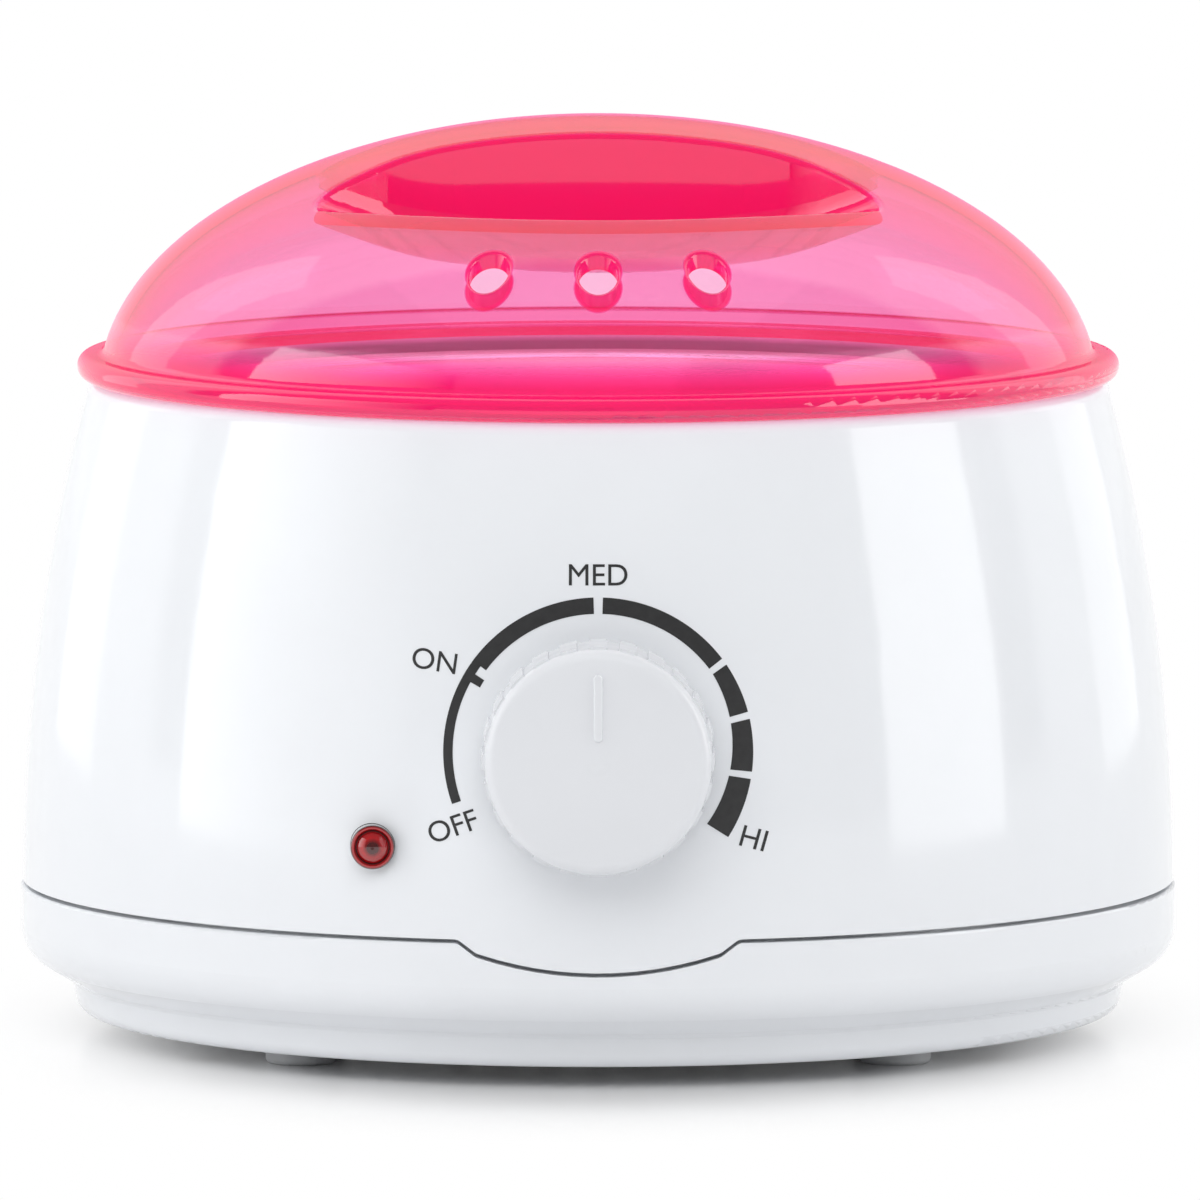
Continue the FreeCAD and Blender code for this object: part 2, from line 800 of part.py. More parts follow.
def ear_middle():
    """Distance back from the axis, and height, of the clamp screw in the band's ears."""
    band_back = bowl_outer_radius(band_high) + band_gap + band_thickness
    return (band_back + ear_start() + ear_reach) / 2 + band_thickness / 2, (band_low + band_high) / 2


def heater_band():
    """Split sleeve round the bowl with two ears at the back."""
    outer = band_gap + band_thickness
    sleeve = turned([(bowl_outer_radius(band_low) + band_gap, band_low),
                     (bowl_outer_radius(band_low) + outer, band_low),
                     (bowl_outer_radius(band_high) + outer, band_high),
                     (bowl_outer_radius(band_high) + band_gap, band_high)])
    half_split = band_split / 2
    sleeve = sleeve.cut(block((-half_split, half_split), (0, FAR), (band_low, band_high)))
    back, middle = ear_middle()
    inside = turned([(0, band_low), (bowl_outer_radius(band_low) + band_gap, band_low),
                     (bowl_outer_radius(band_high) + band_gap, band_high), (0, band_high)])
    for x in (-half_split - ear_plate, half_split):
        ear = block((x, x + ear_plate), (0, ear_start() + ear_reach + band_thickness),
                    (middle - ear_height / 2, middle + ear_height / 2))
        sleeve = sleeve.fuse(ear.cut(inside))
    hole = Part.makeCylinder(band_screw_radius + running_fit, FAR, vec(-FAR / 2, back, middle), RIGHT)
    return sleeve.cut(hole).removeSplitter()


def across_ears(shape, x):
    """Copy of a shape made along +Z, laid along +X on the clamp screw's line."""
    copy = shape.copy()
    copy.rotate(ORIGIN, BACK, 90)
    back, middle = ear_middle()
    copy.translate(vec(x, back, middle))
    return copy


def band_screw():
    face = band_split / 2 + ear_plate
    length = 2 * face + band_nut_height + band_screw_overhang
    one = screw(band_screw_head_radius, band_screw_head_height, band_screw_radius, length)
    return across_ears(one, -face)


def band_nut():
    face = band_split / 2 + ear_plate
    return across_ears(nut(band_nut_flats, band_nut_height, band_screw_radius + running_fit), face)


def tab_offset():
    return band_gap + band_thickness


def heater_tabs():
    """Spade terminals of the band: the front one points down, the rear one up."""
    front = bowl_patch(tab_offset(), tab_plate, band_low - tab_length, band_low + tab_overlap,
                       tab_width, front_tab_bearing)
    rear = bowl_patch(tab_offset(), tab_plate, band_high - tab_overlap, band_high + tab_length,
                      tab_width, rear_tab_bearing)
    return Part.makeCompound([front, rear])


def tab_end(bearing, height):
    return on_bearing(bearing, bowl_outer_radius(height) + tab_offset() + tab_plate / 2, height)


def heat_shield():
    under = shield_top - shield_plate
    hole = stud_radius + running_fit
    rim_inner = shield_radius - shield_plate
    return turned([(hole, under), (rim_inner, under), (rim_inner, shield_low), (shield_radius, shield_low),
                   (shield_radius, shield_top, shield_plate), (hole, shield_top)])


def shield_stud():
    nut_low = shield_top - shield_plate - shield_nut_height
    return rod(stud_radius, nut_low - stud_overhang, bowl_bottom)


def shield_spacer():
    return ring(stud_radius + running_fit, spacer_radius, shield_top, bowl_bottom)


def shield_nut():
    one = nut(shield_nut_flats, shield_nut_height, stud_radius + running_fit)
    return moved(one, vec(0, 0, shield_top - shield_plate - shield_nut_height))


def control_knob():
    """Fluted cap with a slightly crowned face, a raised pointer and a hub for the shaft."""
    def cap(grow, stop):
        return turned([(0, knob_back), (knob_back_radius + grow, knob_back),
                       (knob_front_radius + grow, knob_front - stop), (0, knob_front - stop)])

    def crown(grow):
        return Part.makeSphere(knob_face_radius + grow, vec(0, 0, knob_front - knob_face_radius))

    body = cap(0, 0).common(crown(0))
    edge_height = max(edge.BoundBox.ZMin for edge in body.Edges if edge.BoundBox.XMax > knob_front_radius / 2)
    rims = [edge for edge in body.Edges
            if abs(edge.BoundBox.ZMin - edge_height) < SAME and abs(edge.BoundBox.ZMax - edge_height) < SAME]
    body = body.makeFillet(knob_edge, rims)
    bar = block((0, FAR), (-knob_rib_width / 2, knob_rib_width / 2), (knob_back, knob_front))
    bars = [at_bearing(bar, 90 + 360 * i / knob_rib_count) for i in range(knob_rib_count)]
    flutes = cap(knob_rib_height, knob_rib_stop).cut(cap(-knob_wall / 2, knob_rib_stop))
    body = body.fuse([flutes.common(one) for one in bars])
    half = pointer_width / 2
    tip = half * full_round
    rail = flat_face([(-half, pointer_inner, tip), (half, pointer_inner, tip),
                      (half, pointer_outer, tip), (-half, pointer_outer, tip)],
                     lambda a, b: vec(a, b, knob_front - knob_wall))
    pointer = rail.extrude(vec(0, 0, FAR)).common(crown(pointer_rise))
    pointer_top = [edge for edge in pointer.Edges if edge.BoundBox.ZMin > knob_front - knob_wall + pointer_edge]
    body = body.fuse(pointer.makeFillet(pointer_edge, pointer_top))
    hollow_top = knob_front - knob_wall - knob_edge
    hollow = turned([(0, knob_back), (knob_back_radius - knob_wall, knob_back),
                     (knob_front_radius - knob_wall, hollow_top, knob_edge), (0, hollow_top)])
    hub_low = bushing_end + clip_plate + loose_fit
    hub = rod(knob_hub_radius, hub_low, knob_front - knob_wall)
    bore = rod(shaft_radius + running_fit, hub_low, knob_front - knob_wall)
    bore = bore.cut(flat_side(shaft_flat + running_fit))
    body = body.cut(hollow).fuse(hub).cut(bore)
    return facing_front(body.removeSplitter(), 0, knob_height)


def flat_side(distance):
    """Space above the flat of the D-shaped shaft, in front of its bushing."""
    return block((-FAR, FAR), (distance, FAR), (bushing_end + clip_plate, FAR))


def thermostat_shaft():
    pin = rod(shaft_radius, thermostat_front - shaft_in_body, shaft_end).cut(flat_side(shaft_flat))
    groove = ring(clip_groove, shaft_radius + wall, bushing_end, bushing_end + clip_plate)
    return facing_front(pin.cut(groove), 0, knob_height)


def shaft_clip():
    """Open ring in the shaft's groove, in front of the bushing."""
    gap = block((-clip_opening / 2, clip_opening / 2), (-FAR, 0), (0, FAR))
    washer = ring(clip_groove, clip_radius, bushing_end, bushing_end + clip_plate)
    return facing_front(washer.cut(gap), 0, knob_height)


def thermostat_body():
    half_wide = thermostat_width / 2
    half_tall = thermostat_tall / 2
    case = flat_face([(-half_wide, -half_tall, wall), (half_wide, -half_tall, wall),
                      (half_wide, half_tall, wall), (-half_wide, half_tall, wall)],
                     lambda a, b: vec(a, b, thermostat_back)).extrude(vec(0, 0, thermostat_depth))
    bushing = rod(bushing_radius, thermostat_front, bushing_end)
    bore = rod(shaft_radius + running_fit, thermostat_front - shaft_in_body - loose_fit, bushing_end)
    return facing_front(case.fuse(bushing).cut(bore), 0, knob_height)


def thermostat_nut():
    one = nut(thermostat_nut_flats, thermostat_nut_height, bushing_radius + running_fit)
    return facing_front(moved(one, vec(0, 0, knob_seat)), 0, knob_height)


def blade_point(side, height):
    return vec(side * blade_spread, -(thermostat_front + thermostat_back) / 2, height)


def thermostat_tabs():
    top = knob_height - thermostat_tall / 2
    blades = []
    for side in (-1, 1):
        spot = blade_point(side, top)
        blades.append(block((spot.x - tab_width / 2, spot.x + tab_width / 2),
                            (spot.y - tab_plate / 2, spot.y + tab_plate / 2), (top - blade_length, top)))
    return Part.makeCompound(blades)


def bulb_ring():
    return bowl_outer_radius(bulb_height) + bulb_radius + seat_gap


def bulb_bar(radius):
    section = Part.Face(Part.Wire(Part.makeCircle(radius, vec(bulb_ring(), 0, bulb_height), BACK)))
    return at_bearing(section.revolve(ORIGIN, UP, bulb_angle), bulb_bearing)


def bulb_straps():
    """Clips that press the sensor against the bowl."""
    half = bulb_radius + strap_wall
    hollow = bulb_bar(bulb_radius + running_fit)
    return Part.makeCompound([
        bowl_patch(0, seat_gap + bulb_radius + half, bulb_height - half, bulb_height + half,
                   strap_width, bearing).cut(hollow) for bearing in strap_bearings])


def capillary_tube():
    start = on_bearing(bulb_bearing, bulb_ring(), bulb_height)
    along = on_bearing(bulb_bearing - 90, capillary_lead)
    top = knob_height + thermostat_tall / 2
    entry = vec(capillary_entry, -(thermostat_front + thermostat_back) / 2, top)
    corners = [start, start + along, entry + vec(0, 0, capillary_rise), entry]
    return tube(corners, capillary_radius, capillary_bend)


def indicator_lens():
    """Red tube with a domed front inside a raised ring."""
    body = turned([(0, lens_back), (lens_radius, lens_back), (lens_radius, lens_front, lens_groove),
                   (lens_dome_radius + lens_groove, lens_front), (lens_dome_radius, lens_front - lens_groove),
                   (0, lens_front - lens_groove)])
    cap_radius = (lens_dome_radius ** 2 + lens_dome_rise ** 2) / (2 * lens_dome_rise)
    cap_middle = lens_front - lens_groove + lens_dome_rise - cap_radius
    dome = Part.makeSphere(cap_radius, vec(0, 0, cap_middle))
    dome = dome.common(rod(lens_dome_radius + lens_groove, lens_front - lens_groove, FAR))
    bore = rod(lens_bore_radius, lens_back, lens_front - lens_face)
    return facing_front(body.fuse(dome).cut(bore).removeSplitter(), lens_x, lens_height)


def lens_retainer():
    washer = ring(lens_radius + running_fit, retainer_radius, lens_back, lens_boss_end)
    return facing_front(washer, lens_x, lens_height)


def neon_lamp():
    front = lens_front - lens_face - loose_fit
    bulb = turned([(0, front - lamp_length), (lamp_radius, front - lamp_length),
                   (lamp_radius, front, lamp_radius * full_round), (0, front)])
    return facing_front(bulb, lens_x, lens_height)


def cord_bush():
    """Grommet gripped by the housing's rear wall, with a lip around the cord at its outer end."""
    low = cord_inside - bush_flange_inner
    high = cord_seat + bush_flange_outer
    neck = cord_hole_radius - running_fit
    way = cord_bore_radius + bush_relief
    return facing_back(turned([
        (way, low), (bush_flange_radius, low, bush_edge), (bush_flange_radius, cord_inside),
        (neck, cord_inside), (neck, cord_seat), (bush_flange_radius, cord_seat),
        (bush_flange_radius, high, bush_edge), (cord_bore_radius, high, bush_edge),
        (cord_bore_radius, high - bush_lip), (way, high - bush_lip)]), cord_height)


def block_low():
    return base_floor + block_post_height


def way_places():
    return (-block_way_pitch, 0, block_way_pitch)


def terminal_screw_places():
    return [(x, block_y + y) for x in way_places() for y in (-terminal_screw_spread, terminal_screw_spread)]


def terminal_block():
    low = block_low()
    top = low + block_tall
    body = block((-block_width / 2, block_width / 2),
                 (block_y - block_depth / 2, block_y + block_depth / 2), (low, top))
    for x in way_places():
        body = body.cut(Part.makeCylinder(block_way_radius, FAR, vec(x, 0, lead_run_height), BACK))
    screw_low = top - terminal_screw_height - seat_gap
    body = body.cut([rod(terminal_screw_radius + running_fit, screw_low, top, x, y)
                     for x, y in terminal_screw_places()])
    for x in (-block_post_spread, block_post_spread):
        body = body.cut([rod(screw_radius + loose_fit, low, top, x, block_y),
                         rod(screw_head_radius + loose_fit, top - block_screw_head_height, top, x, block_y)])
    return body


def terminal_screws():
    low = block_low() + block_tall - terminal_screw_height - seat_gap
    one = rod(terminal_screw_radius, 0, terminal_screw_height)
    slot = block((-terminal_screw_radius, terminal_screw_radius),
                 (-terminal_slot_width / 2, terminal_slot_width / 2),
                 (terminal_screw_height - terminal_slot_depth, terminal_screw_height))
    return Part.makeCompound([moved(one.cut(slot), vec(x, y, low)) for x, y in terminal_screw_places()])


def block_screws():
    one = screw(screw_head_radius, block_screw_head_height, screw_radius, block_screw_length)
    one.rotate(ORIGIN, RIGHT, 180)
    seat = block_low() + block_tall - block_screw_head_height
    return Part.makeCompound([moved(one, vec(x, block_y, seat))
                              for x in (-block_post_spread, block_post_spread)])


def fuse_point(along):
    """Point on the fuse's line, a distance along it from its middle."""
    reach = bowl_outer_radius(fuse_height) + fuse_radius + seat_gap
    return on_bearing(fuse_bearing, reach, fuse_height) + on_bearing(fuse_bearing + 90, along)


def fuse_bar(radius, length):
    return Part.makeCylinder(radius, length, fuse_point(-length / 2), on_bearing(fuse_bearing + 90, 1))


def thermal_fuse():
    wires = fuse_bar(fuse_lead_radius, fuse_length + 2 * fuse_lead_length)
    return fuse_bar(fuse_radius, fuse_length).fuse(wires)


def fuse_clip():
    half = fuse_radius + strap_wall
    clip = bowl_patch(0, seat_gap + fuse_radius + half, fuse_height - half, fuse_height + half,
                      strap_width, fuse_bearing)
    return clip.cut(fuse_bar(fuse_radius + running_fit, fuse_length))


def block_way(x):
    """Mouth of one way of the terminal block, on its front."""
    return vec(x, block_y - block_depth / 2, lead_run_height)


def live_lead():
    start = blade_point(1, knob_height - thermostat_tall / 2 - blade_length)
    end = block_way(block_way_pitch)
    corners = [start, vec(start.x, start.y, end.z), end - vec(0, lead_straight, 0), end]
    return tube(corners, lead_radius, lead_bend)


def heater_lead():
    start = blade_point(-1, knob_height - thermostat_tall / 2 - blade_length)
    end = tab_end(front_tab_bearing, band_low - tab_length)
    drop = start.z - lead_fall
    return tube([start, vec(start.x, start.y, drop), vec(end.x, end.y, drop), end], lead_radius, lead_bend)


def fuse_lead():
    end_along = -fuse_length / 2 - fuse_lead_length
    end = tab_end(rear_tab_bearing, band_high + tab_length)
    corners = [fuse_point(end_along), fuse_point(end_along - lead_bend),
               vec(end.x, end.y, fuse_height), end]
    return tube(corners, fuse_lead_radius, lead_bend / 2)


def neutral_lead():
    end_along = fuse_length / 2 + fuse_lead_length
    end = block_way(-block_way_pitch)
    corner = fuse_point(end_along + 2 * lead_bend)
    below = vec(corner.x, corner.y, end.z)
    return tube([fuse_point(end_along), corner, below, end - vec(0, 2 * lead_straight, 0), end],
                lead_radius, lead_bend)


def dome(inset, low):
    """Elliptical dome, smaller by an inset, above a height, in quarters so that no face closes on itself."""
    across = dome_radius - inset
    rise = dome_rise - inset
    ellipse = Part.Ellipse(vec(across, 0, dome_base), vec(0, 0, dome_base + rise), vec(0, 0, dome_base))
    start = math.asin((low - dome_base) / rise)
    arc = Part.ArcOfEllipse(ellipse, start, math.pi / 2).toShape()
    low_radius = across * math.cos(start)
    closing = Part.makePolygon([vec(0, 0, dome_base + rise), vec(0, 0, low), vec(low_radius, 0, low)])
    quarter = Part.Face(Part.Wire([arc] + closing.Edges)).revolve(ORIGIN, UP, 90)
    return quarter.fuse([at_bearing(quarter, bearing) for bearing in (90, 180, 270)])


def hand_pocket(grow):
    """Space of the front hand pocket: a back wall and a curved floor that rises to the lip."""
    flare = math.tan(math.radians(handle_flare_angle))
    back = -handle_half_width + grow
    side = dome_radius + wall
    side_y = back - (side - handle_straight) * flare
    plan = flat_face([(-side, side_y), (-handle_straight, back, handle_turn),
                      (handle_straight, back, handle_turn), (side, side_y), (side, -side), (-side, -side)],
                     lambda a, b: vec(a, b, lid_seat))
    slope = math.radians(pocket_angle)
    along = vec(0, -math.cos(slope), math.sin(slope))
    upward = vec(0, math.sin(slope), math.cos(slope))
    deepest = vec(0, -handle_half_width, lid_top - pocket_depth)
    axis_start = deepest + upward * pocket_floor_radius - along * dome_radius
    roll_radius = pocket_floor_radius + grow
    floor_roll = Part.makeCylinder(roll_radius, 3 * dome_radius, axis_start, along)
    space = plan.extrude(vec(0, 0, 2 * dome_radius)).common(floor_roll)

    def on_wall_foot(edge):
        middle = edge.valueAt((edge.FirstParameter + edge.LastParameter) / 2)
        from_axis = (middle - axis_start).cross(along).Length
        return abs(from_axis - roll_radius) < SAME and abs(middle.x) < side - wall and middle.y > wall - side

    return space.makeFillet(pocket_corner + grow, [edge for edge in space.Edges if on_wall_foot(edge)])


def mirrored_back(shape):
    return shape.mirror(ORIGIN, BACK)


def on_dome(point):
    """Whether a point lies on the dome's outside, clear of its foot."""
    across = math.hypot(point.x, point.y) / dome_radius
    up = (point.z - dome_base) / dome_rise
    return abs(math.hypot(across, up) - 1) * dome_rise < SAME and point.z > lid_seat + flange_height


def dome_rims(shape, least_y):
    """Edges where openings break through the dome's outside."""
    rims = []
    for edge in shape.Edges:
        middle = edge.valueAt((edge.FirstParameter + edge.LastParameter) / 2)
        if on_dome(middle) and abs(middle.y) > least_y:
            rims.append(edge)
    return rims


def lid():
    flange_top = lid_seat + flange_height
    plate_top = lid_seat + flange_plate
    skirt_low = lid_seat - skirt_depth
    skirt_outer = opening_radius - skirt_clearance
    skirt_inner = skirt_outer - skirt_wall
    rim = turned([
        (skirt_inner, skirt_low, skirt_edge),
        (skirt_outer, skirt_low, skirt_edge),
        (skirt_outer, lid_seat),
        (flange_radius, lid_seat, flange_edge),
        (flange_radius, flange_top, flange_edge),
        (skirt_inner, flange_top),
    ])
    low_radius = dome_radius * math.sqrt(1 - ((flange_top - dome_base) / dome_rise) ** 2)
    cap = dome(0, lid_seat + flange_plate / 2).fuse(rim)
    cap = round_edge(cap, low_radius, flange_top, flange_fillet)
    pocket = hand_pocket(0)
    cap = cap.cut([pocket, mirrored_back(pocket)])
    cap = cap.makeFillet(pocket_rim_edge, dome_rims(cap, handle_half_width / 2))
    liner = hand_pocket(lid_wall)
    cap = cap.cut(dome(lid_wall, plate_top).cut([liner, mirrored_back(liner)]))
    cap = cap.cut(rod(skirt_inner, skirt_low, flange_top))
    vents = [rod(vent_radius, plate_top, lid_top, spot.x, spot.y)
             for spot in (on_bearing(bearing, vent_ring) for bearing in vent_bearings())]
    cap = cap.cut(vents)
    vent_rims = [edge for edge in dome_rims(cap, handle_half_width)
                 if abs(math.hypot(edge.CenterOfMass.x, edge.CenterOfMass.y) - vent_ring) < vent_radius / 2]
    return cap.makeFillet(vent_edge, vent_rims)


def vent_bearings():
    return [middle + step * vent_angle for middle in (90, 270) for step in (-1, 0, 1)]


os.makedirs("parts", exist_ok=True)
foot_names = ("foot_front_left", "foot_front_right", "foot_rear_left", "foot_rear_right")
for name, (foot_x, foot_y) in zip(foot_names, foot_places()):
    export(name, foot(foot_x, foot_y))
export("base_cover", base_cover())
export("upper_housing", upper_housing())
export("base_screws", base_screws())
export("wax_pot", wax_pot())
export("bail_saddle_left", bail_saddle(-1))
export("bail_saddle_right", bail_saddle(1))
export("saddle_rivets", saddle_rivets())
export("pot_bail", pot_bail())
export("heating_bowl", heating_bowl())
export("bowl_gasket", bowl_gasket())
export("bowl_brackets", bowl_brackets())
export("bowl_screws", bowl_screws())
export("heater_band", heater_band())
export("band_screw", band_screw())
export("band_nut", band_nut())
export("heater_tabs", heater_tabs())
export("heat_shield", heat_shield())
export("shield_stud", shield_stud())
export("shield_spacer", shield_spacer())
export("shield_nut", shield_nut())
export("control_knob", control_knob())
export("thermostat_shaft", thermostat_shaft())
export("shaft_clip", shaft_clip())
export("thermostat_body", thermostat_body())
export("thermostat_nut", thermostat_nut())
export("thermostat_tabs", thermostat_tabs())
export("sensor_bulb", bulb_bar(bulb_radius))
export("bulb_straps", bulb_straps())
export("capillary_tube", capillary_tube())
export("indicator_lens", indicator_lens())
export("lens_retainer", lens_retainer())
export("neon_lamp", neon_lamp())
export("cord_bush", cord_bush())
export("terminal_block", terminal_block())
export("terminal_screws", terminal_screws())
export("block_screws", block_screws())
export("thermal_fuse", thermal_fuse())
export("fuse_clip", fuse_clip())
export("live_lead", live_lead())
export("heater_lead", heater_lead())
export("fuse_lead", fuse_lead())
export("neutral_lead", neutral_lead())
export("lid", lid())
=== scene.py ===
import json
import math

import bmesh
import bpy
from mathutils import Matrix, Vector

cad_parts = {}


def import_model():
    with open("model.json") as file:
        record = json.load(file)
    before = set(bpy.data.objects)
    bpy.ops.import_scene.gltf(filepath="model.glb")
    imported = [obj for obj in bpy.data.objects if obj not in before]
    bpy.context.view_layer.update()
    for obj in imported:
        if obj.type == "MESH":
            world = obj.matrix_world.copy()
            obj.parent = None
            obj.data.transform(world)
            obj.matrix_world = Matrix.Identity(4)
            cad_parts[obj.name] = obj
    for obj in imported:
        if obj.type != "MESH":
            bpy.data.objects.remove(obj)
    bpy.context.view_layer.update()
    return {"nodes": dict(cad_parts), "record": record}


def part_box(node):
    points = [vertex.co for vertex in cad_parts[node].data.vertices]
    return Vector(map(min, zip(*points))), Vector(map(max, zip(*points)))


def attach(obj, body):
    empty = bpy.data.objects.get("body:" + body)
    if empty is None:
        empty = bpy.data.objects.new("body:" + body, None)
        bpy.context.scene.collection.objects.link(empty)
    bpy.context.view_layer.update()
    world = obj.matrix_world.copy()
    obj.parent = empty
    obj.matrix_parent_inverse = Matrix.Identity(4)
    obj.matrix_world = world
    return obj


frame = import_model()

# Looks of a table-top wax heater with a translucent pink lid.
# The frame is in metres: +Z is up, the front faces -Y and the origin is on the standing surface.
MM = 0.001
MICRON = 0.000001
record = frame["record"]
nodes = frame["nodes"]

# Camera: a long lens, a little above the heater. The photo's values are in pixels.
PHOTO_SIDE = 1200
PHOTO_FOCUS = 23047
PHOTO_AXIS_COLUMN = 598.2
SENSOR = 36.0
CAMERA_DISTANCE = 3.5
CAMERA_ELEVATION = 5.75
CAMERA_AIM_HEIGHT = 65.27 * MM
CAMERA_REACH = 100
LIGHT_BOUNCES = 32

# Floor: its colour near the heater, the distances between which it fades to the white background, and the
# share of each coordinate in these distances
FLOOR_SIZE = 30.0
FLOOR_COLOR = (0.93, 0.93, 0.935)
FLOOR_FADE = (0.076, 0.145)
FLOOR_FADE_SHAPE = (1.35, 1.0, 0.0)

# World: the strength of its plain light and of what gloss mirrors, each between two limits from front to
# back, and the strength seen through clear plastic
WORLD_LIMITS = (-0.9, 0.1)
WORLD_FRONT = 0.08
WORLD_SIDE = 0.52
GLOSS_LIMITS = (0.18, 0.26)
GLOSS_FRONT = 0.22
GLOSS_BACK = 1.10
WORLD_THROUGH = 1.0
WORLD_COLOR = (1.0, 1.0, 1.0, 1)

# Upright glowing panels, between two bearings in degrees from the front, and soft lamps
PANEL_DISTANCE = 1.0
PANELS = {
    "softbox_left": {"first": -89, "last": -35, "height": 0.75, "strength": 3.4, "fade": 1.0},
    "softbox_right": {"first": 58, "last": 86, "height": 0.75, "strength": 3.1, "fade": 0.0},
    "rim_left": {"first": -138, "last": -119, "height": 1.2, "strength": 1.7, "fade": 0.0},
    "rim_right": {"first": 138, "last": 119, "height": 1.2, "strength": 1.7, "fade": 0.0},
}
LAMP_AIM = (0, 0, 0.06)
LAMPS = {
    "top_light": {"place": (0, 0.0, 1.3), "size": (1.2, 0.8), "strength": 3.0},
    "front_light": {"place": (-0.20, -1.20, 0.95), "size": (1.4, 1.0), "strength": 10.5},
}

# Colours, as linear light
WHITE_PLASTIC = (0.815, 0.835, 0.865)
KNOB_WHITE = (0.745, 0.76, 0.79)
INK = (0.026, 0.026, 0.027)
POLISHED = (0.90, 0.90, 0.91)
SPUN = (0.78, 0.78, 0.79)
STEEL = (0.62, 0.63, 0.65)
BRASS = (0.74, 0.55, 0.24)
COPPER = (0.75, 0.36, 0.22)
SWITCH_CREAM = (0.68, 0.64, 0.52)
GASKET_GREY = (0.50, 0.50, 0.48)
FOOT_WHITE = (0.72, 0.73, 0.74)
BUSH_GREY = (0.60, 0.61, 0.63)
LAMP_GLASS = (0.95, 0.75, 0.65)
LIVE_BROWN = (0.09, 0.03, 0.014)
NEUTRAL_BLUE = (0.015, 0.04, 0.26)

# Finishes: how far roughness strays from its middle, as a share, and how metallic the turned pieces are
PLASTIC_STRAY = 0.15
METAL_STRAY = 0.3
TURNED_METALLIC = 0.7

# Lid: the dome's ellipsoid and where the flange, the cut faces and the vents' collars begin and are complete
DOME_RADIUS = 75.77 * MM
DOME_RISE = 41.2 * MM
DOME_BASE = 97.8 * MM
LID_CUT_LIMITS = (0.92, 0.62)
LID_FLANGE_LIMITS = (109.0 * MM, 104.0 * MM)
LID_OUTER_LIMITS = (0.0, DOME_RADIUS / 4)
LID_VENTS = ((0, 62.77 * MM, 0), (16.25 * MM, 60.63 * MM, 0))
LID_VENT_LIMITS = (3.75 * MM, 3.45 * MM)

# Lid: colours of its thickness and of its edges, shares of the edge colour, and gloss
LID_ABSORB = (0.995, 0.02, 0.50)
LID_DENSITY = 110.0
LID_EDGE = (0.97, 0.012, 0.175)
LID_WALL_SHARE = 0.09
LID_LIMB_SHARE = 0.15
LID_LIMB_POWER = 4.0
LID_FLANGE_SHARE = 0.95
LID_FLANGE_SHADE = 0.35
LID_CUT_CLEAR = 0.4
LID_GLOSS_IOR = 1.65
LID_INNER_GLOSS = 0.5

# Lens of the lamp: its axis, and the shade and shadow painted on it at each radius
LENS_AXIS = (-33.5 * MM, 0, 36.7 * MM)
# Painted shade: a dark middle, lighter and darker rings of red, a dark ring and a near-black edge that is
# painted bezel shadow
LENS_PAINTED_SHADE_RINGS = (
    (0.8 * MM, (0.05, 0.0003, 0.001)),
    (1.5 * MM, (0.42, 0.002, 0.006)),
    (2.1 * MM, (0.34, 0.001, 0.004)),
    (2.5 * MM, (0.03, 0.0003, 0.0006)),
    (2.75 * MM, (0.46, 0.002, 0.006)),
    (3.05 * MM, (0.32, 0.001, 0.004)),
    (3.2 * MM, (0.02, 0.0004, 0.0006)),
)

# Dial print, in millimetres from the knob's axis and in degrees clockwise from the top
INK_RISE = 0.05
INK_DEPTH = 0.06
ARC_OUTER = 23.0
ARC_STEP = 1.0
ARC_ROWS = 3
THIN_WIDTH = 1.4
THICK_WIDTH = 2.4
TICK_REACH = 3.0
HIGH_WIDTH = 3.75
OFF_ANGLE = -109.5
ON_ANGLE = -61.3
TICK_ANGLE = 3.6
NOTCH_ANGLE = 3.8
MIDDLE_GAP = 3.5
STEP_GAP = 2.7
STEP_ANGLES = (54.4, 76.4, 98.7)
HIGH_ANGLE = 123.0

# Rays that find the housing's front start here, in metres along Y
CAST_FROM = -1.0

# Words of the dial, with their middle's place across and up from the knob's axis and their turn to the left
LABEL_HEIGHT = 3.1
LABEL_CURVE_STEPS = 6
LABELS = {
    "label_off": {"words": "OFF", "x": -21.6, "z": -11.0, "turn": 20.0},
    "label_on": {"words": "ON", "x": -24.3, "z": 13.4, "turn": -8.0},
    "label_med": {"words": "MED", "x": 0.0, "z": 26.3, "turn": 0.0},
    "label_high": {"words": "HI", "x": 23.1, "z": -12.8, "turn": -16.0},
}

# Shader nodes: the span of a noise pattern, shares of a place that measure from an upright axis or from one
# that points to the front, operations on vectors that give a number, and a Mix node's two inputs and output
PATTERN_LIMITS = (0.3, 0.7)
FROM_UPRIGHT = (1, 1, 0)
FROM_FRONTAL = (1, 0, 1)
GIVES_NUMBER = ("DISTANCE", "DOT_PRODUCT")
MIX_SOCKETS = {"FLOAT": (2, 3, 0), "RGBA": (6, 7, 2)}


